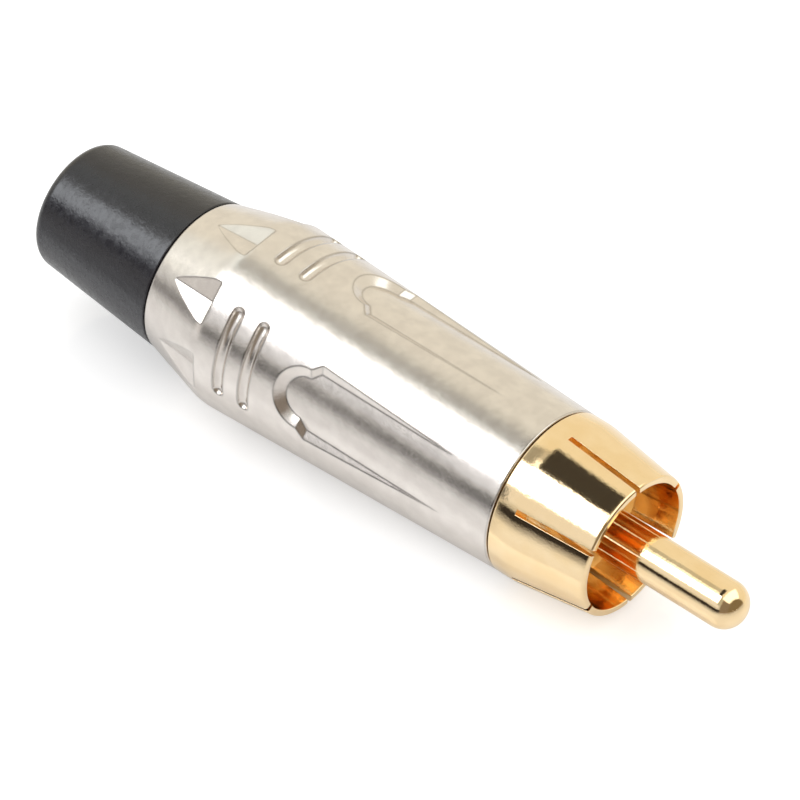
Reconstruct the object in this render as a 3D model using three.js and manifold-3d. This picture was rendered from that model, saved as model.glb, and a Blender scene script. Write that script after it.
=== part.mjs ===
// A phono plug with a die-cast shell, lying on its side as it rests on a table.
// Millimetres, +Z up. Each piece is drawn along +X with the rim of the contact ring at x = 0,
// the pin ahead of it and the boot behind it. Angles round the axis are in degrees from the top
// towards -Y. The whole plug is then laid on the straight side of its shell.

import * as THREE from 'three';
import { mergeVertices } from 'three/addons/utils/BufferGeometryUtils.js';
import { ConvexGeometry } from 'three/addons/geometries/ConvexGeometry.js';
import Module from 'manifold-3d';

const wasm = await Module();
wasm.setup();

// Gaps between pieces
const seam = 0.1; // the fine joint lines that show outside
const fit = 0.1; // hidden fits, all round and end to end

// Centre pin
const pinRadius = 1.6;
const pinReach = 8.7; // how far the tip stands ahead of the ring's rim
const collarRadius = 2.4;
const collarLength = 0.9;
const shankRadius = 1.2;
const solderCupRadius = 1.5;
const solderCupLength = 5;
const solderCupBore = 1;
const solderCupDepth = 4;
const solderCupOpening = 2.6; // length of the half that is cut away

// Contact ring
const rimRadius = 4.92;
const shoulderRadius = 5.7; // also the front radius of the shell, which it meets flush
const ringLength = 7;
const shoulderBand = 1.4;
const rimRound = 0.25;
const cupRadius = 4.15;
const leadInDepth = 0.6;
const leadInFlare = 0.22;
const cupDepth = 7.4;
const slotCount = 6;
const slotWidth = 0.38;
const slotLength = 5.5;
const slotTurn = 0; // the first slot is at the top
const spigotRadius = 4.75; // the threaded part that holds the shell
const spigotLength = 6.5;
const spigotBore = 3.4;
const edgeChamfer = 0.12;

// Insulators and ground lug
const insulatorFlange = 1.6;
const pocketRadius = 2.6;
const pocketDepth = 2;
const rearFlangeRadius = 3.4;
const rearFlangeLength = 1.2;
const lugRadius = 4.4;
const lugThickness = 0.5;
const tagThickness = 0.4;
const tagLength = 9;
const tagWidth = 2.4;
const tagHoleRadius = 0.6;

// Shell
const shellLength = 29;
const kneeRadius = 6.69;
const kneeSetback = 5.1; // from the shell's tail end
const kneeBlend = 4; // radius of the round between its two cones
const tailRadius = 5.35;
const middleBore = 4.6;
const chuckBore = 4.85;
const chuckSeatSetback = 9.5; // from the shell's tail end

// Grip windows, four round the shell
const gripCount = 4;
const gripTurn = 70.5;
const gripFloorRadius = 5.85;
const gripFloorHalf = 2.06;
const gripNoseRadius = 1.45;
const gripNoseFromTail = 13.8; // centre of the round nose
const gripStepLength = 0.6;
const gripWallSlope = 1.15; // outward run of the wall for each millimetre up

// Finger grooves, a pair behind each grip window
const grooveStations = [ 7.45, 9.5 ]; // centre lines, from the shell's tail end
const grooveWidth = 0.85;
const grooveDepth = 0.35;
const grooveHalfAngle = 28.8;

// Arrow notches round the tail cone, two to each grip window
const notchCount = 8;
const notchTipFromTail = 1.7;
const notchBaseFromTail = 5.35;
const notchHalfWidth = 1.54;
const notchDepth = 0.55;
const notchLean = 0.2; // how far the base wall leans

// Sleeve, chuck and boot
const sleeveWall = 0.35;
const chuckFlange = 2.6;
const chuckBodyLength = 5.6;
const chuckTaper = 1.5;
const chuckSlotCount = 4;
const chuckSlotWidth = 0.8;
const chuckThroat = 3.1;
const bootLength = 10.7;
const bootRearRadius = 4.42;
const bootRound = 0.85;
const bootSpigotRadius = 4.75;
const bootSpigotLength = 5.6;
const bootSpigotBore = 3.9;
const bootConeLength = 3.4; // the cone inside the boot that squeezes the chuck
const cableRadius = 3.2;

const facets = 48; // sides of every turned piece, a multiple of the slots and the windows

// Stations along the axis, worked out from the lengths above
const ringBack = - ringLength;
const spigotBack = ringBack - spigotLength;
const lugFront = spigotBack - fit;
const lugBack = lugFront - lugThickness;
const rearFlangeFront = lugBack - fit;
const rearFlangeBack = rearFlangeFront - rearFlangeLength;
const ringStep = - cupDepth - insulatorFlange - fit;
const pocketFloor = spigotBack + pocketDepth;
const collarFront = pocketFloor - fit;
const collarBack = collarFront - collarLength;
const shellFront = ringBack - seam;
const shellBack = shellFront - shellLength;
const kneeStation = shellBack + kneeSetback;
const chuckSeat = shellBack + chuckSeatSetback;
const chuckFront = chuckSeat - fit;
const chuckShoulder = chuckFront - chuckFlange;
const chuckTip = chuckShoulder - chuckBodyLength;
const bootFront = shellBack - seam;
const bootBack = bootFront - bootLength;
const coneStart = chuckTip + chuckTaper;

const at = ( x, r ) => new THREE.Vector2( x, r );
const radians = THREE.MathUtils.degToRad;

// Radius of the shell's outside at a station, without the round at its knee.
function shellRadius( x ) {

	const end = x > kneeStation ? at( shellFront, shoulderRadius ) : at( shellBack, tailRadius );
	const share = ( x - kneeStation ) / ( end.x - kneeStation );
	return THREE.MathUtils.lerp( kneeRadius, end.y, share );

}

// Points of the arc that rounds a profile's corner.
function rounded( before, corner, after, radius, steps ) {

	const back = before.clone().sub( corner ).normalize();
	const ahead = after.clone().sub( corner ).normalize();
	const half = Math.acos( back.dot( ahead ) ) / 2;
	const centre = back.clone().add( ahead ).setLength( radius / Math.sin( half ) ).add( corner );
	const reach = radius / Math.tan( half );
	const from = back.multiplyScalar( reach ).add( corner ).sub( centre );
	const to = ahead.multiplyScalar( reach ).add( corner ).sub( centre );
	const turn = Math.atan2( from.cross( to ), from.dot( to ) );
	const points = [];
	for ( let i = 0; i <= steps; i ++ ) {

		points.push( from.clone().rotateAround( at( 0, 0 ), turn * i / steps ).add( centre ) );

	}

	return points;

}

// A closed mesh as a solid that can be joined and cut.
function toSolid( geometry ) {

	const bare = geometry.clone();
	bare.deleteAttribute( 'normal' );
	bare.deleteAttribute( 'uv' );
	const merged = mergeVertices( bare, 1e-4 );
	const corners = merged.index.array;
	const triangles = [];
	for ( let i = 0; i < corners.length; i += 3 ) {

		const [ a, b, c ] = corners.slice( i, i + 3 );
		if ( a !== b && b !== c && c !== a ) triangles.push( a, b, c );

	}

	return new wasm.Manifold( new wasm.Mesh( {
		numProp: 3,
		vertProperties: new Float32Array( merged.attributes.position.array ),
		triVerts: new Uint32Array( triangles ),
	} ) );

}

function toGeometry( solid ) {

	const { vertProperties, triVerts } = solid.getMesh();
	const geometry = new THREE.BufferGeometry();
	geometry.setAttribute( 'position', new THREE.BufferAttribute( vertProperties, 3 ) );
	geometry.setIndex( new THREE.BufferAttribute( triVerts, 1 ) );
	geometry.computeVertexNormals();
	return geometry;

}

// A profile of ( station, radius ) points turned round the X axis. Half a facet of start turn
// puts a flat, and not an edge, at the bottom. A ring's profile closes on itself.
function turned( profile, isRing = true ) {

	const points = profile.map( ( p ) => at( p.y, p.x ) );
	if ( isRing ) points.push( points[ 0 ].clone() );
	if ( THREE.ShapeUtils.isClockWise( points ) ) points.reverse();
	const geometry = new THREE.LatheGeometry( points, facets, Math.PI / facets );
	geometry.rotateZ( - Math.PI / 2 );
	return toSolid( geometry );

}

// Bends a flat geometry round the X axis: y becomes arc length at a radius, and z height above it.
function wrapped( geometry, radius ) {

	const position = geometry.attributes.position;
	for ( let i = 0; i < position.count; i ++ ) {

		const angle = position.getY( i ) / radius;
		const reach = radius + position.getZ( i );
		position.setXYZ( i, position.getX( i ), reach * Math.sin( angle ), reach * Math.cos( angle ) );

	}

	return geometry;

}

// Copies of a solid at even angles round the axis, cut from or added to another.
function cutAround( body, cutter, count, firstTurn ) {

	let result = body;
	for ( let i = 0; i < count; i ++ ) {

		result = result.subtract( cutter.rotate( [ firstTurn + 360 * i / count, 0, 0 ] ) );

	}

	return result;

}

function block( low, high ) {

	const size = high.clone().sub( low );
	const geometry = new THREE.BoxGeometry( size.x, size.y, size.z );
	const centre = low.clone().add( high ).multiplyScalar( 0.5 );
	geometry.translate( centre.x, centre.y, centre.z );
	return toSolid( geometry );

}

// A slot through a wall at the top, open at one end.
function slotCutter( from, to, width ) {

	const low = new THREE.Vector3( from, - width / 2, 0 );
	const high = new THREE.Vector3( to, width / 2, kneeRadius );
	return block( low, high );

}

function makePin() {

	const tip = [];
	const tipSteps = 8;
	for ( let i = 0; i <= tipSteps; i ++ ) {

		const turn = i / tipSteps * Math.PI / 2;
		tip.push( at( pinReach - pinRadius * ( 1 - Math.cos( turn ) ), pinRadius * Math.sin( turn ) ) );

	}

	const cupFront = rearFlangeBack - fit;
	const cupBack = cupFront - solderCupLength;
	const boreEnd = cupBack + solderCupDepth;
	const drillPoint = solderCupBore / 2;
	const profile = [
		...tip,
		at( collarFront, pinRadius ),
		at( collarFront, collarRadius ),
		at( collarBack, collarRadius ),
		at( collarBack, shankRadius ),
		at( cupFront, shankRadius ),
		at( cupFront, solderCupRadius ),
		at( cupBack, solderCupRadius ),
		at( cupBack, solderCupBore ),
		at( boreEnd, solderCupBore ),
		at( boreEnd + drillPoint, 0 ),
	];
	const opening = block(
		new THREE.Vector3( cupBack - fit, - 2 * solderCupRadius, solderCupRadius / 4 ),
		new THREE.Vector3( cupBack + solderCupOpening, 2 * solderCupRadius, 2 * solderCupRadius ),
	);
	return turned( profile, false ).subtract( opening );

}

function makeRing() {

	const bandFront = at( ringBack + shoulderBand, shoulderRadius );
	const rim = at( 0, rimRadius );
	const rimInner = at( 0, cupRadius + leadInFlare );
	const profile = [
		rimInner,
		...rounded( rimInner, rim, bandFront, rimRound, 4 ),
		bandFront,
		at( ringBack + edgeChamfer, shoulderRadius ),
		at( ringBack, shoulderRadius - edgeChamfer ),
		at( ringBack, spigotRadius ),
		at( spigotBack, spigotRadius ),
		at( spigotBack, spigotBore ),
		at( ringStep, spigotBore ),
		at( ringStep, cupRadius ),
		at( - leadInDepth, cupRadius ),
	];
	const slot = slotCutter( - slotLength, pinReach, slotWidth );
	return cutAround( turned( profile ), slot, slotCount, slotTurn );

}

function makeFrontInsulator() {

	const bore = pinRadius + fit;
	const flangeRadius = cupRadius - fit;
	const bossRadius = spigotBore - fit;
	return turned( [
		at( - cupDepth, bore ),
		at( - cupDepth, flangeRadius ),
		at( ringStep + fit, flangeRadius ),
		at( ringStep + fit, bossRadius ),
		at( spigotBack, bossRadius ),
		at( spigotBack, pocketRadius ),
		at( pocketFloor, pocketRadius ),
		at( pocketFloor, bore ),
	] );

}

function makeRearInsulator() {

	const bore = shankRadius + fit;
	const neckRadius = pocketRadius - fit;
	return turned( [
		at( collarBack - fit, bore ),
		at( collarBack - fit, neckRadius ),
		at( rearFlangeFront, neckRadius ),
		at( rearFlangeFront, rearFlangeRadius ),
		at( rearFlangeBack, rearFlangeRadius ),
		at( rearFlangeBack, bore ),
	] );

}

// A stamped washer with a solder tag bent back from its lower edge.
function makeGroundLug() {

	const washer = turned( [
		at( lugFront, pocketRadius ),
		at( lugFront, lugRadius ),
		at( lugBack, lugRadius ),
		at( lugBack, pocketRadius ),
	] );
	const half = tagWidth / 2;
	const outline = new THREE.Shape();
	outline.moveTo( lugFront - lugThickness / 2, - half );
	outline.lineTo( lugFront - lugThickness / 2, half );
	outline.lineTo( lugBack - tagLength + half, half );
	outline.absarc( lugBack - tagLength + half, 0, half, Math.PI / 2, 3 * Math.PI / 2, false );
	const hole = new THREE.Path();
	hole.absarc( lugBack - tagLength + half, 0, tagHoleRadius, 0, 2 * Math.PI, true );
	outline.holes.push( hole );
	const tag = new THREE.ExtrudeGeometry( outline, {
		depth: tagThickness,
		bevelEnabled: false,
		curveSegments: 10,
	} );
	tag.translate( 0, 0, - rearFlangeRadius - fit - tagThickness );
	return washer.add( toSolid( tag ) );

}

function makeSleeve() {

	const outer = middleBore - fit;
	const inner = outer - sleeveWall;
	const front = rearFlangeFront;
	const back = chuckFront + fit;
	return turned( [ at( front, inner ), at( front, outer ), at( back, outer ), at( back, inner ) ] );

}

// Flat outline of a grip window's floor: a round nose, a step out, and straight sides.
function gripOutline( noseCentre ) {

	const stepEnd = noseCentre + gripStepLength;
	const outline = new THREE.Shape();
	outline.moveTo( 0, - gripFloorHalf );
	outline.lineTo( 0, gripFloorHalf );
	outline.lineTo( stepEnd, gripFloorHalf );
	outline.lineTo( noseCentre, gripNoseRadius );
	outline.absarc( noseCentre, 0, gripNoseRadius, Math.PI / 2, 3 * Math.PI / 2, false );
	outline.lineTo( stepEnd, - gripFloorHalf );
	return outline;

}

// The space that a grip window takes out: its floor follows a cylinder round the axis, and its
// walls lean outwards. It runs out where the tapering shell comes down to the floor's radius.
function gripCutter() {

	const noseCentre = shellBack + gripNoseFromTail;
	const rise = kneeRadius - gripFloorRadius + edgeChamfer;
	const levels = 5;
	const geometry = new THREE.ExtrudeGeometry( gripOutline( noseCentre ), {
		depth: levels * rise,
		steps: levels,
		curveSegments: 7,
		bevelEnabled: false,
	} );
	geometry.translate( 0, 0, - rise );
	const position = geometry.attributes.position;
	for ( let i = 0; i < position.count; i ++ ) {

		const [ x, y, z ] = [ position.getX( i ), position.getY( i ), position.getZ( i ) ];
		const grow = gripWallSlope * Math.min( z, rise );
		const swell = 1 + grow / gripNoseRadius;
		if ( x < noseCentre ) position.setXY( i, noseCentre + ( x - noseCentre ) * swell, y * swell );
		else position.setY( i, y + Math.sign( y ) * grow );

	}

	const core = turned( [
		at( shellBack, 0 ),
		at( shellBack, gripFloorRadius ),
		at( pinReach, gripFloorRadius ),
		at( pinReach, 0 ),
	], false );
	return toSolid( wrapped( geometry, gripFloorRadius ) ).subtract( core );

}

// A round-bottomed, round-ended groove bent round the shell.
function grooveCutter( fromTail ) {

	const station = shellBack + fromTail;
	const halfWidth = grooveWidth / 2;
	const toolRadius = ( halfWidth ** 2 + grooveDepth ** 2 ) / ( 2 * grooveDepth );
	const track = shellRadius( station ) + toolRadius - grooveDepth;
	const run = 2 * ( radians( grooveHalfAngle ) * track - halfWidth );
	const rod = new THREE.CapsuleGeometry( toolRadius, run, 4, 12, 14 );
	rod.translate( station, 0, 0 );
	return toSolid( wrapped( rod, track ) );

}

// An arrow-shaped notch: two facets that meet in a valley, deepest at a leaning base wall.
function notchCutter() {

	const tip = shellBack + notchTipFromTail;
	const base = shellBack + notchBaseFromTail;
	const surface = shellRadius( base );
	const edgeAngle = notchHalfWidth / surface;
	const beyond = 2; // carries the walls on above the shell's surface
	const valley = new THREE.Vector3( base - notchLean, 0, surface - notchDepth );
	const point = new THREE.Vector3( tip, 0, shellRadius( tip ) );
	const corners = [ 1, - 1 ].map( ( side ) => {

		const y = side * surface * Math.sin( edgeAngle );
		const corner = new THREE.Vector3( base, y, surface * Math.cos( edgeAngle ) );
		return valley.clone().lerp( corner, beyond );

	} );
	return toSolid( new ConvexGeometry( [ point, valley, ...corners ] ) );

}

function makeShell() {

	const front = at( shellFront, shoulderRadius - edgeChamfer );
	const knee = at( kneeStation, kneeRadius );
	const tail = at( shellBack, tailRadius );
	const frontBore = spigotRadius + fit;
	const profile = [
		at( shellFront, frontBore ),
		front,
		at( shellFront - edgeChamfer, shellRadius( shellFront - edgeChamfer ) ),
		...rounded( front, knee, tail, kneeBlend, 4 ),
		tail,
		at( shellBack, chuckBore ),
		at( chuckSeat, chuckBore ),
		at( chuckSeat, middleBore ),
		at( rearFlangeFront + fit, middleBore ),
		at( rearFlangeFront + fit, frontBore ),
	];
	let shell = cutAround( turned( profile ), gripCutter(), gripCount, gripTurn );
	for ( const station of grooveStations ) {

		shell = cutAround( shell, grooveCutter( station ), gripCount, gripTurn );

	}

	const notchTurn = gripTurn + 180 / notchCount;
	return cutAround( shell, notchCutter(), notchCount, notchTurn );

}

// A collet whose fingers close on the cable as the boot is screwed in.
function makeChuck() {

	const bodyRadius = bootSpigotBore - fit;
	const tipShare = chuckTaper / bootConeLength;
	const tipRadius = THREE.MathUtils.lerp( bootSpigotBore, cableRadius, tipShare ) - fit;
	const body = turned( [
		at( chuckFront, chuckThroat ),
		at( chuckFront, chuckBore - fit ),
		at( chuckShoulder, chuckBore - fit ),
		at( chuckShoulder, bodyRadius ),
		at( coneStart, bodyRadius ),
		at( chuckTip, tipRadius ),
		at( chuckTip, chuckThroat ),
	] );
	const slot = slotCutter( chuckTip - fit, chuckShoulder, chuckSlotWidth );
	return cutAround( body, slot, chuckSlotCount, 0 );

}

function makeBoot() {

	const spigotFront = bootFront + bootSpigotLength;
	const front = at( bootFront, tailRadius );
	const rear = at( bootBack, bootRearRadius );
	const mouth = at( bootBack, cableRadius );
	return turned( [
		at( spigotFront, bootSpigotBore ),
		at( spigotFront, bootSpigotRadius ),
		at( bootFront, bootSpigotRadius ),
		at( bootFront, tailRadius - edgeChamfer ),
		at( bootFront - edgeChamfer, tailRadius ),
		...rounded( front, rear, mouth, bootRound, 5 ),
		mouth,
		at( coneStart - bootConeLength, cableRadius ),
		at( coneStart, bootSpigotBore ),
	] );

}

const finishes = {
	gold: new THREE.MeshStandardMaterial( { color: 0xe8bd6c, roughness: 0.12, metalness: 1 } ),
	nickel: new THREE.MeshStandardMaterial( { color: 0xdccfbe, roughness: 0.32, metalness: 1 } ),
	black: new THREE.MeshStandardMaterial( { color: 0x302e31, roughness: 0.6, metalness: 0 } ),
	white: new THREE.MeshStandardMaterial( { color: 0xf0ede4, roughness: 0.5, metalness: 0 } ),
	clear: new THREE.MeshStandardMaterial( { color: 0xcfd4d6, roughness: 0.3, metalness: 0 } ),
};

function piece( name, solid, finish ) {

	const mesh = new THREE.Mesh( toGeometry( solid ), finish );
	mesh.name = name;
	return mesh;

}

// Lies on the line from the shell's knee to its front edge, which tips the pin downwards.
const plug = new THREE.Group();
plug.add(
	piece( 'centre_pin', makePin(), finishes.gold ),
	piece( 'contact_ring', makeRing(), finishes.gold ),
	piece( 'front_insulator', makeFrontInsulator(), finishes.white ),
	piece( 'rear_insulator', makeRearInsulator(), finishes.white ),
	piece( 'ground_lug', makeGroundLug(), finishes.gold ),
	piece( 'insulating_sleeve', makeSleeve(), finishes.clear ),
	piece( 'shell', makeShell(), finishes.nickel ),
	piece( 'cable_chuck', makeChuck(), finishes.black ),
	piece( 'boot', makeBoot(), finishes.black ),
);
plug.rotation.y = Math.atan2( kneeRadius - shoulderRadius, shellFront - kneeStation );

const box = new THREE.Box3().setFromObject( plug, true );
const centre = box.getCenter( new THREE.Vector3() );
plug.position.set( - centre.x, - centre.y, - box.min.z );

const model = new THREE.Group();
model.add( plug );

export default model;
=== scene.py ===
import math
import bpy
import bmesh
from mathutils import Matrix, Vector


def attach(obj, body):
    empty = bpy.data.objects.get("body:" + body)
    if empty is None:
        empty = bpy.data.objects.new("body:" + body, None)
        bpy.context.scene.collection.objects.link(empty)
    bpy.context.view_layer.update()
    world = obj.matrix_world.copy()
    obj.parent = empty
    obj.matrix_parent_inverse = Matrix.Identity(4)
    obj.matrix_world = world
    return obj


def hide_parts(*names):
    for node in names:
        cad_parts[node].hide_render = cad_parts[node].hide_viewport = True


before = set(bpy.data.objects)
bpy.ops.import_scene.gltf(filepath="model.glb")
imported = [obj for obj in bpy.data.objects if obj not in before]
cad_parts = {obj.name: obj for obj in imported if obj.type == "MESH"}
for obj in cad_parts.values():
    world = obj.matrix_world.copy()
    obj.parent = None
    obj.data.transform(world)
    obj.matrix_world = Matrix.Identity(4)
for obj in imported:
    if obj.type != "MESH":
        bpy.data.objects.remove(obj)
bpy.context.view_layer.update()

# Sizes are in millimetres along the plug: x = 0 at the ring's front rim, the pin ahead of it.
# Angles round the plug are in degrees from the top towards -Y.
plugPlace = {
    "dip": 2.3719838,                       # nose down, as it rests on the cone ahead of its knee
    "rimCentre": (19.158813, 0.0, 5.451154),
    "cadSides": 48,                         # the smooth skins stay inside the flats of these sides
}
mmPerMetre = 1000
inFlats = math.cos(math.pi / plugPlace["cadSides"])
toFrame = (
    Matrix.Scale(1 / mmPerMetre, 4)
    @ Matrix.Translation(plugPlace["rimCentre"])
    @ Matrix.Rotation(math.radians(plugPlace["dip"]), 4, "Y")
)

# In the finishes, a noise is (size, detail, roughness) and a bump is (height, strength).
noiseSpan = (0.3, 0.7)                      # most of a noise lies between these values
edgeSamples = 8


def newMaterial(name):
    material = bpy.data.materials.new(name)
    material.use_nodes = True
    return material, material.node_tree.nodes, material.node_tree.links


def addNoise(nodes, links, settings):
    size, detail, roughness = settings
    place = nodes.new("ShaderNodeTexCoord")
    noise = nodes.new("ShaderNodeTexNoise")
    noise.inputs["Scale"].default_value = mmPerMetre / size
    noise.inputs["Detail"].default_value = detail
    noise.inputs["Roughness"].default_value = roughness
    links.new(place.outputs["Object"], noise.inputs["Vector"])
    return noise.outputs["Fac"]


def addTint(nodes, links, source, span, finish):
    ramp = nodes.new("ShaderNodeValToRGB")
    first, last = ramp.color_ramp.elements
    first.position, first.color = span[0], (*finish["deep"], 1)
    last.position, last.color = span[1], (*finish["light"], 1)
    links.new(source, ramp.inputs["Fac"])
    return ramp.outputs["Color"]


def addRange(nodes, links, source, low, high):
    spread = nodes.new("ShaderNodeMapRange")
    spread.inputs["From Min"].default_value = noiseSpan[0]
    spread.inputs["From Max"].default_value = noiseSpan[1]
    spread.inputs["To Min"].default_value = low
    spread.inputs["To Max"].default_value = high
    links.new(source, spread.inputs["Value"])
    return spread.outputs["Result"]


def addEdge(nodes, radius):
    # light catches the edges as if they were rounded to this radius
    edge = nodes.new("ShaderNodeBevel")
    edge.samples = edgeSamples
    edge.inputs["Radius"].default_value = radius / mmPerMetre
    return edge.outputs["Normal"]


def edgeShare(nodes, links, edge, turns):
    # 1 where the rounded edge turns the surface by less than the first angle, 0 past the second
    surface = nodes.new("ShaderNodeNewGeometry")
    match = nodes.new("ShaderNodeVectorMath")
    match.operation = "DOT_PRODUCT"
    links.new(edge, match.inputs[0])
    links.new(surface.outputs["Normal"], match.inputs[1])
    share = nodes.new("ShaderNodeMapRange")
    share.inputs["From Min"].default_value = math.cos(math.radians(turns[1]))
    share.inputs["From Max"].default_value = math.cos(math.radians(turns[0]))
    links.new(match.outputs["Value"], share.inputs["Value"])
    return share.outputs["Result"]


def fadeTo(nodes, links, share, low, value):
    # the whole value where the share is 1, and the low part of it where the share is 0
    part = nodes.new("ShaderNodeMapRange")
    part.inputs["To Min"].default_value = low
    links.new(share, part.inputs["Value"])
    faded = nodes.new("ShaderNodeVectorMath")
    faded.operation = "SCALE"
    links.new(value, faded.inputs[0])
    links.new(part.outputs["Result"], faded.inputs["Scale"])
    return faded.outputs["Vector"]


def addBump(nodes, links, source, settings, under=None):
    height, strength = settings
    bump = nodes.new("ShaderNodeBump")
    bump.inputs["Strength"].default_value = strength
    bump.inputs["Distance"].default_value = height / mmPerMetre
    links.new(source, bump.inputs["Height"])
    if under:
        links.new(under, bump.inputs["Normal"])
    return bump.outputs["Normal"]


def addMath(nodes, links, operation, first, second):
    step = nodes.new("ShaderNodeMath")
    step.operation = operation
    for socket, value in zip(step.inputs, (first, second)):
        if isinstance(value, (int, float)):
            socket.default_value = value
        else:
            links.new(value, socket)
    return step.outputs[0]


def addMix(nodes, links, share, under, over):
    # under where the share is 0, over where it is 1; each is a socket or a plain colour
    mix = nodes.new("ShaderNodeMix")
    mix.data_type = "RGBA"
    links.new(share, mix.inputs[0])
    colours = [socket for socket in mix.inputs if socket.type == "RGBA"]
    for socket, value in zip(colours, (under, over)):
        if isinstance(value, tuple):
            socket.default_value = (*value, 1)
        else:
            links.new(value, socket)
    return [socket for socket in mix.outputs if socket.type == "RGBA"][0]


goldFinish = {
    "light": (0.94, 0.735, 0.455), "deep": (0.91, 0.69, 0.40),
    "patch": (1.6, 3.0, 0.5), "patchSpan": (0.35, 0.65),
    "smooth": 0.05, "dull": 0.10,
    "haze": (0.13, 2.0, 0.5), "hazeBump": (0.0024, 1.0),
    "peel": (0.8, 4.0, 0.62), "peelBump": (0.009, 1.0),
    "edge": 0.05,
}


def makeGold():
    finish = goldFinish
    material, nodes, links = newMaterial("goldPlate")
    shader = nodes["Principled BSDF"]
    shader.inputs["Metallic"].default_value = 1.0
    patches = addNoise(nodes, links, finish["patch"])
    tint = addTint(nodes, links, patches, finish["patchSpan"], finish)
    links.new(tint, shader.inputs["Base Color"])
    haze = addNoise(nodes, links, finish["haze"])
    rough = addRange(nodes, links, haze, finish["smooth"], finish["dull"])
    links.new(rough, shader.inputs["Roughness"])
    peel = addNoise(nodes, links, finish["peel"])
    edge = addEdge(nodes, finish["edge"])
    broad = addBump(nodes, links, peel, finish["peelBump"], under=edge)
    fine = addBump(nodes, links, haze, finish["hazeBump"], under=broad)
    links.new(fine, shader.inputs["Normal"])
    return material


nickelFinish = {
    "light": (0.785, 0.735, 0.685), "deep": (0.715, 0.665, 0.62),
    "patch": (1.0, 3.0, 0.5), "patchSpan": (0.35, 0.65),
    "smooth": 0.21, "dull": 0.26,
    "grain": (0.16, 3.0, 0.6), "grainBump": (0.0016, 0.5),
    "ripple": (1.1, 3.5, 0.58), "rippleBump": (0.018, 1.0),
    # along the edges the colour is darkened by painted shade, standing in for the dark lines the
    # edges reflect; the edges are also made glossier
    "edge": 0.23, "edgeTurns": (3, 12), "paintedEdgeShade": 0.66, "edgePolish": 0.3,
}


def makeNickel():
    finish = nickelFinish
    material, nodes, links = newMaterial("satinNickel")
    shader = nodes["Principled BSDF"]
    shader.inputs["Metallic"].default_value = 1.0
    patches = addNoise(nodes, links, finish["patch"])
    tint = addTint(nodes, links, patches, finish["patchSpan"], finish)
    edge = addEdge(nodes, finish["edge"])
    openFace = edgeShare(nodes, links, edge, finish["edgeTurns"])
    # painted shade: the base colour darkens along the rounded edges, standing in for the dark
    # reflections they catch
    tint = fadeTo(nodes, links, openFace, finish["paintedEdgeShade"], tint)
    links.new(tint, shader.inputs["Base Color"])
    grain = addNoise(nodes, links, finish["grain"])
    rough = addRange(nodes, links, grain, finish["smooth"], finish["dull"])
    rough = fadeTo(nodes, links, openFace, finish["edgePolish"], rough)
    links.new(rough, shader.inputs["Roughness"])
    ripple = addNoise(nodes, links, finish["ripple"])
    broad = addBump(nodes, links, ripple, finish["rippleBump"], under=edge)
    fine = addBump(nodes, links, grain, finish["grainBump"], under=broad)
    links.new(fine, shader.inputs["Normal"])
    return material


bootFinish = {
    "light": (0.011, 0.010, 0.014), "deep": (0.006, 0.005, 0.008), "patch": (1.2, 3.0, 0.5),
    "ior": 1.57, "smooth": 0.16, "dull": 0.34, "grain": (0.42, 4.0, 0.6), "grainBump": (0.045, 0.6),
}
chuckFinish = {
    "light": (0.035, 0.034, 0.036), "deep": (0.022, 0.021, 0.023), "patch": (1.5, 3.0, 0.5),
    "ior": 1.5, "smooth": 0.35, "dull": 0.5, "grain": (0.2, 4.0, 0.6), "grainBump": (0.006, 0.6),
}
insulatorFinish = {
    "light": (0.90, 0.82, 0.64), "deep": (0.86, 0.77, 0.58), "patch": (0.8, 3.0, 0.5),
    "ior": 1.38, "smooth": 0.3, "dull": 0.45, "grain": (0.3, 4.0, 0.6), "grainBump": (0.004, 0.6),
}
sleeveFinish = {
    "light": (0.66, 0.70, 0.73), "deep": (0.58, 0.62, 0.66), "patch": (2.0, 3.0, 0.5),
    "ior": 1.5, "smooth": 0.12, "dull": 0.22, "grain": (0.5, 4.0, 0.6), "grainBump": (0.003, 0.6),
}


def makePlastic(name, finish):
    material, nodes, links = newMaterial(name)
    shader = nodes["Principled BSDF"]
    shader.inputs["IOR"].default_value = finish["ior"]
    patches = addNoise(nodes, links, finish["patch"])
    tint = addTint(nodes, links, patches, noiseSpan, finish)
    links.new(tint, shader.inputs["Base Color"])
    grain = addNoise(nodes, links, finish["grain"])
    rough = addRange(nodes, links, grain, finish["smooth"], finish["dull"])
    links.new(rough, shader.inputs["Roughness"])
    normal = addBump(nodes, links, grain, finish["grainBump"])
    links.new(normal, shader.inputs["Normal"])
    return material


goldPlate = makeGold()
satinNickel = makeNickel()
bootPlastic = makePlastic("bootPlastic", bootFinish)
chuckPlastic = makePlastic("chuckPlastic", chuckFinish)
insulatorPlastic = makePlastic("insulatorPlastic", insulatorFinish)
sleevePlastic = makePlastic("sleevePlastic", sleeveFinish)
print("materials made")


meshLimits = {
    "weldTurned": 1e-4, "weldCarved": 0.0015,   # points closer than this become one
    "sliver": 0.001,                        # thinner faces are dissolved
    "hair": 1e-5,                           # forgives rounding when places are compared
}
edgeFinish = {
    "angle": 11,                            # sharper turns between two faces count as edges
    "segments": 2, "normalWeight": 50,
}


def softened(corners, steps):
    # corners are (x, r, rounding radius); a round replaces each corner that has one
    points = []
    for i, (x, r, size) in enumerate(corners):
        corner = Vector((x, r))
        if size == 0:
            points.append(corner)
            continue
        before = (Vector(corners[i - 1][:2]) - corner).normalized()
        after = (Vector(corners[(i + 1) % len(corners)][:2]) - corner).normalized()
        half = before.angle(after) / 2
        centre = corner + (before + after).normalized() * size / math.sin(half)
        start = corner + before * size / math.tan(half) - centre
        turn = start.angle_signed(corner + after * size / math.tan(half) - centre)
        for k in range(steps + 1):
            points.append(centre + Matrix.Rotation(-turn * k / steps, 2) @ start)
    return points


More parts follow.
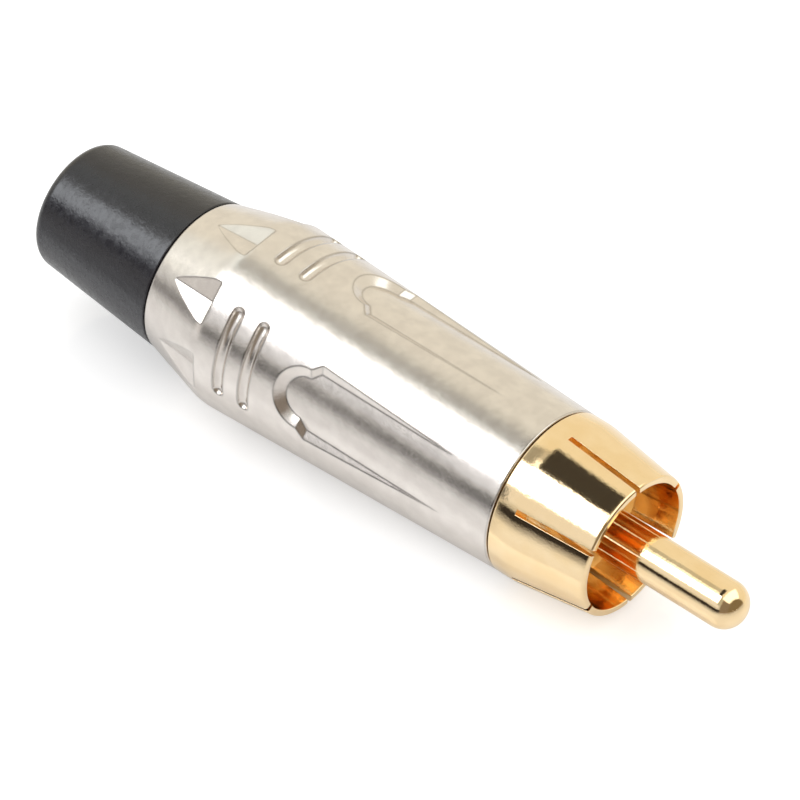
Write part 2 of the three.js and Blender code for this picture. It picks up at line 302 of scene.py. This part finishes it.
def spunRound(bm, points, axis, sides):
    # a line of points turned a full circle; it closes where it starts and ends on the axis
    bmesh.ops.spin(
        bm, geom=points, cent=(0, 0, 0), axis=axis, dvec=(0, 0, 0),
        angle=2 * math.pi, steps=sides, use_merge=True, use_duplicate=False,
    )
    bmesh.ops.remove_doubles(bm, verts=bm.verts, dist=meshLimits["weldTurned"])


def turnedShape(corners, shape):
    bm = bmesh.new()
    points = softened(corners, shape["roundSteps"])
    profile = [bm.verts.new((p.x, 0, p.y * inFlats)) for p in points]
    edges = [bm.edges.new(pair) for pair in zip(profile, profile[1:] + profile[:1])]
    spunRound(bm, profile + edges, (1, 0, 0), shape["sides"])
    loose = [e for e in bm.edges if not e.link_faces]
    bmesh.ops.delete(bm, geom=loose, context="EDGES")
    bmesh.ops.recalc_face_normals(bm, faces=bm.faces)
    return bm


def wrapRound(bm, radius):
    # y becomes arc length at that radius, z the height above it
    for v in bm.verts:
        angle = v.co.y / radius
        reach = radius + v.co.z
        v.co = (v.co.x, reach * math.sin(angle), reach * math.cos(angle))


def sliceAcross(bm, direction, places):
    for place in places:
        bmesh.ops.bisect_plane(
            bm, geom=bm.verts[:] + bm.edges[:] + bm.faces[:],
            plane_co=direction * place, plane_no=direction,
        )


def copiedRound(bm, count, firstTurn):
    # whole copies at even angles, the first one at that angle
    base = bm.verts[:] + bm.edges[:] + bm.faces[:]
    for i in range(1, count):
        made = bmesh.ops.duplicate(bm, geom=base)
        verts = [g for g in made["geom"] if isinstance(g, bmesh.types.BMVert)]
        turn = Matrix.Rotation(math.radians(360 * i / count), 3, "X")
        bmesh.ops.rotate(bm, verts=verts, cent=(0, 0, 0), matrix=turn)
    turn = Matrix.Rotation(math.radians(firstTurn), 3, "X")
    bmesh.ops.rotate(bm, verts=bm.verts, cent=(0, 0, 0), matrix=turn)
    return bm


def boxShape(low, high):
    bm = bmesh.new()
    bmesh.ops.create_cube(bm, size=1)
    low, high = Vector(low), Vector(high)
    bmesh.ops.scale(bm, vec=high - low, verts=bm.verts)
    bmesh.ops.translate(bm, vec=(low + high) / 2, verts=bm.verts)
    return bm


def objectFrom(bm, name):
    mesh = bpy.data.meshes.new(name)
    bm.to_mesh(mesh)
    bm.free()
    obj = bpy.data.objects.new(name, mesh)
    bpy.context.scene.collection.objects.link(obj)
    return obj


def carve(bm, cutters):
    body = objectFrom(bm, "carvedBody")
    knives = [objectFrom(cutter, "knife") for cutter in cutters]
    for knife in knives:
        cut = body.modifiers.new("cut", "BOOLEAN")
        cut.operation = "DIFFERENCE"
        cut.solver = "EXACT"
        cut.object = knife
    depsgraph = bpy.context.evaluated_depsgraph_get()
    mesh = bpy.data.meshes.new_from_object(body.evaluated_get(depsgraph))
    result = bmesh.new()
    result.from_mesh(mesh)
    for obj in [body] + knives:
        bpy.data.objects.remove(obj)
    bmesh.ops.remove_doubles(result, verts=result.verts, dist=meshLimits["weldCarved"])
    bmesh.ops.dissolve_degenerate(result, edges=result.edges, dist=meshLimits["sliver"])
    bmesh.ops.recalc_face_normals(result, faces=result.faces)
    return result


def finishPiece(bm, name, material, node, edge=0.0):
    bmesh.ops.transform(bm, matrix=toFrame, verts=bm.verts)
    for face in bm.faces:
        face.smooth = True
    piece = objectFrom(bm, name)
    piece.data.materials.append(material)
    edgeAngle = math.radians(edgeFinish["angle"])
    piece.data.set_sharp_from_angle(angle=edgeAngle)
    if edge:
        bevel = piece.modifiers.new("edges", "BEVEL")
        bevel.width = edge / mmPerMetre
        bevel.segments = edgeFinish["segments"]
        bevel.limit_method = "ANGLE"
        bevel.angle_limit = edgeAngle
        bevel.harden_normals = True
    weighted = piece.modifiers.new("normals", "WEIGHTED_NORMAL")
    weighted.weight = edgeFinish["normalWeight"]
    weighted.keep_sharp = True
    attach(piece, "root")
    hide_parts(node)
    print(name, "made")


shellShape = {
    "front": -7.1, "back": -36.1, "kneeX": -31.0,
    "frontR": 5.7, "kneeR": 6.684, "backR": 5.35, "kneeRound": 4.0, "endRound": 0.1,
    "frontBore": 4.85, "middleBore": 4.6, "backBore": 4.85, "boreStep": -14.1, "chuckSeat": -26.6,
    "sides": 288, "roundSteps": 10, "edge": 0.05,
}
gripWindow = {
    "count": 4, "turn": 70.5, "floorR": 5.85, "floorHalf": 2.06, "noseR": 1.45,
    "noseFromBack": 13.8, "stepLength": 0.6, "wallSlope": 1.15, "rise": 1.05,
    "noseSteps": 28, "slice": 0.2, "levels": (0.35, 0.7),   # the cuts that let its walls bend
}
fingerGroove = {
    "fromBack": (7.45, 9.5), "width": 0.85, "depth": 0.35, "halfAngle": 28.8,
    "sides": 40, "bendSteps": 40, "endSteps": 9,
}
arrowNotch = {
    "count": 8, "tipFromBack": 1.7, "baseFromBack": 5.35, "halfWidth": 1.54, "depth": 0.55,
    "baseLean": 0.2,
    "beyond": 2.0,                          # the cutter reaches this many times as far as the edge
}


def shellRadius(x):
    s = shellShape
    endX, endR = (s["front"], s["frontR"]) if x > s["kneeX"] else (s["back"], s["backR"])
    share = (x - s["kneeX"]) / (endX - s["kneeX"])
    return s["kneeR"] + (endR - s["kneeR"]) * share


def makeWindowCutter():
    # a flat outline with a round nose, raised with sloping walls and then bent round the shell
    w = gripWindow
    nose = shellShape["back"] + w["noseFromBack"]
    stepX = nose + w["stepLength"]
    outline = [(0, w["floorHalf"]), (stepX, w["floorHalf"])]
    for i in range(w["noseSteps"] + 1):
        angle = math.pi / 2 + math.pi * i / w["noseSteps"]
        outline.append((nose + w["noseR"] * math.cos(angle), w["noseR"] * math.sin(angle)))
    outline += [(stepX, -w["floorHalf"]), (0, -w["floorHalf"])]
    bm = bmesh.new()
    floorFace = bm.faces.new([bm.verts.new((x, y, 0)) for x, y in outline])
    lifted = bmesh.ops.extrude_face_region(bm, geom=[floorFace])
    grow = w["wallSlope"] * w["rise"]
    swell = 1 + grow / w["noseR"]
    for v in lifted["geom"]:
        if not isinstance(v, bmesh.types.BMVert):
            continue
        if v.co.x <= nose + meshLimits["hair"]:
            v.co.x = nose + (v.co.x - nose) * swell
            v.co.y *= swell
        else:
            v.co.y += math.copysign(grow, v.co.y)
        v.co.z = w["rise"]
    count = int((w["floorHalf"] + grow) / w["slice"])
    sliceAcross(bm, Vector((0, 1, 0)), [w["slice"] * i for i in range(-count, count + 1)])
    sliceAcross(bm, Vector((0, 0, 1)), w["levels"])
    wrapRound(bm, w["floorR"] * inFlats)
    bmesh.ops.recalc_face_normals(bm, faces=bm.faces)
    return copiedRound(bm, w["count"], w["turn"])


def makeGrooveCutter(fromBack):
    # a round bar that follows the shell, with a ball at either end
    g = fingerGroove
    x = shellShape["back"] + fromBack
    half = g["width"] / 2
    toolR = (half ** 2 + g["depth"] ** 2) / (2 * g["depth"])
    track = shellRadius(x) * inFlats + toolR - g["depth"]
    run = math.radians(g["halfAngle"]) * track - half
    line = []
    for i in range(g["endSteps"] + 1):
        angle = math.pi / 2 * i / g["endSteps"]
        line.append((run + toolR * math.cos(angle), toolR * math.sin(angle)))
    for i in range(1, g["bendSteps"]):
        line.append((run - 2 * run * i / g["bendSteps"], toolR))
    line += [(-y, r) for y, r in reversed(line[:g["endSteps"] + 1])]
    bm = bmesh.new()
    verts = [bm.verts.new((0, y, r)) for y, r in line]
    edges = [bm.edges.new(pair) for pair in zip(verts, verts[1:])]
    spunRound(bm, verts + edges, (0, 1, 0), g["sides"])
    bmesh.ops.translate(bm, verts=bm.verts, vec=(x, 0, 0))
    wrapRound(bm, track)
    bmesh.ops.recalc_face_normals(bm, faces=bm.faces)
    return copiedRound(bm, gripWindow["count"], gripWindow["turn"])


def makeNotchCutter():
    # two slopes that meet in a valley from the tip to the deepest point of the base
    n = arrowNotch
    tipX = shellShape["back"] + n["tipFromBack"]
    baseX = shellShape["back"] + n["baseFromBack"]
    baseR = shellRadius(baseX) * inFlats
    angle = n["halfWidth"] / baseR
    valley = Vector((baseX - n["baseLean"], 0, baseR - n["depth"]))
    bm = bmesh.new()
    bm.verts.new((tipX, 0, shellRadius(tipX) * inFlats))
    bm.verts.new(valley)
    for side in (1, -1):
        corner = Vector((baseX, side * baseR * math.sin(angle), baseR * math.cos(angle)))
        bm.verts.new(valley.lerp(corner, n["beyond"]))
    bmesh.ops.convex_hull(bm, input=bm.verts)
    bmesh.ops.recalc_face_normals(bm, faces=bm.faces)
    return copiedRound(bm, n["count"], gripWindow["turn"] + 180 / n["count"])


def makeShell():
    s = shellShape
    body = turnedShape([
        (s["front"], s["frontBore"], 0),
        (s["front"], s["frontR"], s["endRound"]),
        (s["kneeX"], s["kneeR"], s["kneeRound"]),
        (s["back"], s["backR"], s["endRound"]),
        (s["back"], s["backBore"], 0),
        (s["chuckSeat"], s["backBore"], 0),
        (s["chuckSeat"], s["middleBore"], 0),
        (s["boreStep"], s["middleBore"], 0),
        (s["boreStep"], s["frontBore"], 0),
    ], s)
    cutters = [makeWindowCutter(), makeNotchCutter()]
    cutters += [makeGrooveCutter(fromBack) for fromBack in fingerGroove["fromBack"]]
    body = carve(body, cutters)
    finishPiece(body, "shellSkin", satinNickel, "shell", edge=s["edge"])


makeShell()


ringShape = {
    "rimR": 4.92, "shoulderR": 5.7, "length": 7.0, "band": 1.4, "rimRound": 0.22, "bandRound": 6.0,
    "rimHold": 0.5,                         # extra points here keep the cone straight up to its rim
    "cupR": 4.15, "leadIn": 3.2, "leadFlare": 0.3, "leadRound": 0.3, "lipRound": 0.08,
    "backRound": 0.12, "spigotR": 4.75, "spigotBack": -13.5, "spigotBore": 3.4, "boreStep": -9.1,
    "sides": 480, "roundSteps": 8, "edge": 0.035,
}
ringSlot = {
    "count": 6, "turn": 0, "width": 0.38, "length": 5.5,
    "ahead": 2, "inner": 2, "outer": 8,     # the cutter's reach, well past the ring's wall
}


def makeRing():
    r = ringShape
    bandFront = -r["length"] + r["band"]
    holdR = r["rimR"] - (r["shoulderR"] - r["rimR"]) * r["rimHold"] / bandFront
    body = turnedShape([
        (0, r["cupR"] + r["leadFlare"], r["lipRound"]),
        (0, r["rimR"], r["rimRound"]),
        (-r["rimHold"], holdR, 0),
        (bandFront, r["shoulderR"], r["bandRound"]),
        (-r["length"], r["shoulderR"], r["backRound"]),
        (-r["length"], r["spigotR"], 0),
        (r["spigotBack"], r["spigotR"], 0),
        (r["spigotBack"], r["spigotBore"], 0),
        (r["boreStep"], r["spigotBore"], 0),
        (r["boreStep"], r["cupR"], 0),
        (-r["leadIn"], r["cupR"], r["leadRound"]),
    ], r)
    half = ringSlot["width"] / 2
    slot = boxShape(
        (-ringSlot["length"], -half, ringSlot["inner"]),
        (ringSlot["ahead"], half, ringSlot["outer"]),
    )
    body = carve(body, [copiedRound(slot, ringSlot["count"], ringSlot["turn"])])
    finishPiece(body, "contactRing", goldPlate, "contact_ring", edge=r["edge"])


makeRing()


pinShape = {
    "tipX": 8.69, "r": 1.6, "tipRound": 1.5,
    "collarFront": -11.6, "collarBack": -12.5, "collarR": 2.4, "collarRound": 0.1, "shankR": 1.2,
    "cupFront": -15.5, "cupBack": -20.5, "cupR": 1.5, "cupRound": 0.1, "cupEndRound": 0.05,
    "cupBore": 1.0, "boreEnd": -16.5, "boreTip": -16.0,
    "openLength": 2.6, "openFloor": 0.375,  # the solder cup's open side
    "openBehind": 1, "openReach": 3,        # the cutter's reach, well past the cup
    "sides": 160, "roundSteps": 14,
}


def makePin():
    p = pinShape
    body = turnedShape([
        (p["tipX"], 0, 0),
        (p["tipX"], p["r"], p["tipRound"]),
        (p["collarFront"], p["r"], 0),
        (p["collarFront"], p["collarR"], p["collarRound"]),
        (p["collarBack"], p["collarR"], p["collarRound"]),
        (p["collarBack"], p["shankR"], 0),
        (p["cupFront"], p["shankR"], 0),
        (p["cupFront"], p["cupR"], p["cupRound"]),
        (p["cupBack"], p["cupR"], p["cupEndRound"]),
        (p["cupBack"], p["cupBore"], 0),
        (p["boreEnd"], p["cupBore"], 0),
        (p["boreTip"], 0, 0),
    ], p)
    opening = boxShape(
        (p["cupBack"] - p["openBehind"], -p["openReach"], p["openFloor"]),
        (p["cupBack"] + p["openLength"], p["openReach"], p["openReach"]),
    )
    body = carve(body, [opening])
    finishPiece(body, "centrePin", goldPlate, "centre_pin")


makePin()


bootShape = {
    "front": -36.2, "back": -46.9, "frontR": 5.35, "backR": 4.42,
    "frontRound": 0.1, "backRound": 0.85,
    "spigotFront": -30.6, "spigotR": 4.75, "spigotBore": 3.9, "spigotRound": 0.1,
    "coneStart": -33.4, "coneEnd": -36.8, "cableR": 3.2, "mouthRound": 0.15,
    "sides": 200, "roundSteps": 10,
}


def makeBoot():
    b = bootShape
    body = turnedShape([
        (b["spigotFront"], b["spigotBore"], 0),
        (b["spigotFront"], b["spigotR"], b["spigotRound"]),
        (b["front"], b["spigotR"], 0),
        (b["front"], b["frontR"], b["frontRound"]),
        (b["back"], b["backR"], b["backRound"]),
        (b["back"], b["cableR"], b["mouthRound"]),
        (b["coneEnd"], b["cableR"], 0),
        (b["coneStart"], b["spigotBore"], 0),
    ], b)
    finishPiece(body, "cableBoot", bootPlastic, "boot")


makeBoot()


# The inner pieces keep their solids and only get their finish.
innerFinish = {
    "front_insulator": insulatorPlastic,
    "rear_insulator": insulatorPlastic,
    "ground_lug": goldPlate,
    "insulating_sleeve": sleevePlastic,
    "cable_chuck": chuckPlastic,
}
for nodeName, material in innerFinish.items():
    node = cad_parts[nodeName]
    for materialSlot in node.material_slots:
        materialSlot.material = material
    if not node.material_slots:
        node.data.materials.append(material)
print("inner pieces finished")


paleFloor = {
    "colour": (0.9, 0.9, 0.9), "gloss": 0.05, "ior": 1.45, "size": 1.6,
    "lift": 0.34, "liftColour": (1, 1, 1),  # keeps the floor white for the camera
}


def makeFloor():
    bm = bmesh.new()
    bmesh.ops.create_grid(bm, x_segments=1, y_segments=1, size=paleFloor["size"] / 2)
    floor = objectFrom(bm, "floor")
    material, nodes, links = newMaterial("paleFloor")
    shader = nodes["Principled BSDF"]
    shader.inputs["Base Color"].default_value = (*paleFloor["colour"], 1)
    shader.inputs["Roughness"].default_value = paleFloor["gloss"]
    shader.inputs["IOR"].default_value = paleFloor["ior"]
    shader.inputs["Emission Color"].default_value = (*paleFloor["liftColour"], 1)
    path = nodes.new("ShaderNodeLightPath")
    lift = addMath(nodes, links, "MULTIPLY", path.outputs["Is Camera Ray"], paleFloor["lift"])
    links.new(lift, shader.inputs["Emission Strength"])
    floor.data.materials.append(material)


studioSky = {
    "backdrop": (1, 1, 1),                  # what the camera sees
    "plain": (0.95, 0.95, 0.95),            # what lights the boot and the floor
    "wall": (0.97, 0.91, 0.765),            # what gloss reflects, with the panels below on it
}
# Each panel spans an angle round the plug, and a share of the way along it, from -1 at the boot's
# end to 1 at the pin's. It fades over the two soft widths, and later panels cover earlier ones.
skyPanels = [
    {"angle": (-15, 50), "along": (-1.5, -0.5), "soft": (8, 0.06), "tone": (1.0, 1.0, 0.92)},
    {"angle": (-25, 10), "along": (-0.66, -0.5), "soft": (6, 0.04), "tone": (1.15, 1.2, 1.14)},
    {"angle": (50, 180), "along": (-1.5, 1.5), "soft": (4, 0.1), "tone": (0.70, 0.69, 0.66)},
    {"angle": (50, 73), "along": (-0.75, 0.15), "soft": (4, 0.1), "tone": (0.95, 0.95, 0.97)},
    {"angle": (-180, 180), "along": (0.74, 1.5), "soft": (4, 0.05), "tone": (0.24, 0.19, 0.12)},
    {"angle": (-6, 22), "along": (-0.52, -0.04), "soft": (4, 0.04), "tone": (0.40, 0.385, 0.34)},
    {"angle": (-14, 29), "along": (-0.28, -0.04), "soft": (3, 0.03), "tone": (0.06, 0.055, 0.05)},
    {"angle": (-6, 10), "along": (-0.40, -0.31), "soft": (4, 0.02), "tone": (0.66, 0.64, 0.57)},
    {"angle": (10, 22), "along": (-0.40, -0.31), "soft": (3, 0.02), "tone": (1.7, 1.7, 1.6)},
    {"angle": (21, 60), "along": (-0.05, 0.25), "soft": (3, 0.04), "tone": (0.55, 0.55, 0.5)},
    {"angle": (21, 53), "along": (-0.74, -0.02), "soft": (2.5, 0.03), "tone": (4.5, 4.65, 4.8)},
    {"angle": (24, 110), "along": (0.27, 0.82), "soft": (5, 0.05), "tone": (0.27, 0.22, 0.175)},
    {"angle": (-50, 28), "along": (0.16, 0.73), "soft": (5, 0.05), "tone": (1.9, 1.9, 1.8)},
    {"angle": (58, 74), "along": (-0.75, -0.49), "soft": (3, 0.04), "tone": (0.05, 0.05, 0.055)},
    {"angle": (74, 94), "along": (-0.69, -0.55), "soft": (2, 0.03), "tone": (0.98, 0.95, 0.92)},
    {"angle": (79, 101), "along": (-0.53, 0.3), "soft": (2.5, 0.05), "tone": (0.035, 0.03, 0.028)},
    {"angle": (79, 101), "along": (-0.95, -0.72), "soft": (3, 0.06), "tone": (0.10, 0.09, 0.085)},
]


def addWindow(nodes, links, value, span, soft):
    # 1 inside the span, fading to 0 over the soft width at either end
    sides = []
    for low, high in ((span[0] - soft, span[0] + soft), (span[1] + soft, span[1] - soft)):
        side = nodes.new("ShaderNodeMapRange")
        side.interpolation_type = "SMOOTHSTEP"
        side.inputs["From Min"].default_value = low
        side.inputs["From Max"].default_value = high
        links.new(value, side.inputs["Value"])
        sides.append(side.outputs["Result"])
    return addMath(nodes, links, "MULTIPLY", *sides)


def makeSky():
    world = bpy.data.worlds.new("studioSky")
    bpy.context.scene.world = world
    world.use_nodes = True
    nodes, links = world.node_tree.nodes, world.node_tree.links
    place = nodes.new("ShaderNodeTexCoord")
    parts = nodes.new("ShaderNodeSeparateXYZ")
    links.new(place.outputs["Generated"], parts.inputs["Vector"])
    towards = addMath(nodes, links, "MULTIPLY", parts.outputs["Y"], -1)
    angle = addMath(nodes, links, "ARCTAN2", towards, parts.outputs["Z"])
    degrees = addMath(nodes, links, "MULTIPLY", angle, math.degrees(1))
    seen = studioSky["wall"]
    for panel in skyPanels:
        angleSoft, alongSoft = panel["soft"]
        across = addWindow(nodes, links, degrees, panel["angle"], angleSoft)
        along = addWindow(nodes, links, parts.outputs["X"], panel["along"], alongSoft)
        share = addMath(nodes, links, "MULTIPLY", across, along)
        seen = addMix(nodes, links, share, seen, panel["tone"])
    path = nodes.new("ShaderNodeLightPath")
    seen = addMix(nodes, links, path.outputs["Is Glossy Ray"], studioSky["plain"], seen)
    seen = addMix(nodes, links, path.outputs["Is Camera Ray"], seen, studioSky["backdrop"])
    links.new(seen, nodes["Background"].inputs["Color"])


lamps = {
    "softLamp": {"power": 0.3, "size": 0.35, "place": (-0.10, -0.22, 0.36)},
    "cupLamp": {"power": 1.2, "size": 0.1, "place": (0.4, -0.02, 0.035)},   # shines into the ring
}


def makeLamp(name, settings):
    light = bpy.data.lights.new(name, "AREA")
    light.energy = settings["power"]
    light.size = settings["size"]
    lamp = bpy.data.objects.new(name, light)
    bpy.context.scene.collection.objects.link(lamp)
    lamp.location = settings["place"]
    lamp.rotation_euler = (-lamp.location).to_track_quat("-Z", "Y").to_euler()
    lamp.visible_glossy = False


photoCamera = {
    "turn": 41.15, "height": 41.60, "lens": 270.0, "sensor": 36.0, "clip": (0.01, 10),
    "rimSeen": (14.36, 9.032, 368.515),     # the rim's centre from the camera: right, down, ahead
}


def makeCamera():
    turn, height = math.radians(photoCamera["turn"]), math.radians(photoCamera["height"])
    right = Vector((math.cos(turn), math.sin(turn), 0))
    back = Vector((
        math.sin(turn) * math.cos(height), -math.cos(turn) * math.cos(height), math.sin(height)
    ))
    up = back.cross(right)
    data = bpy.data.cameras.new("photoCamera")
    data.lens = photoCamera["lens"]
    data.sensor_width = photoCamera["sensor"]
    data.clip_start, data.clip_end = photoCamera["clip"]
    camera = bpy.data.objects.new("photoCamera", data)
    bpy.context.scene.collection.objects.link(camera)
    sideways, down, ahead = photoCamera["rimSeen"]
    rim = Vector(plugPlace["rimCentre"])
    camera.matrix_world = Matrix.Translation(
        (rim - right * sideways + up * down + back * ahead) / mmPerMetre
    ) @ Matrix((right, up, back)).transposed().to_4x4()
    bpy.context.scene.camera = camera


makeFloor()
makeSky()
for name, settings in lamps.items():
    makeLamp(name, settings)
makeCamera()
glossyBounces = 10                          # light goes round many times inside the ring
bpy.context.scene.cycles.glossy_bounces = glossyBounces
bpy.context.scene.view_settings.view_transform = "Standard"
print("studio ready")
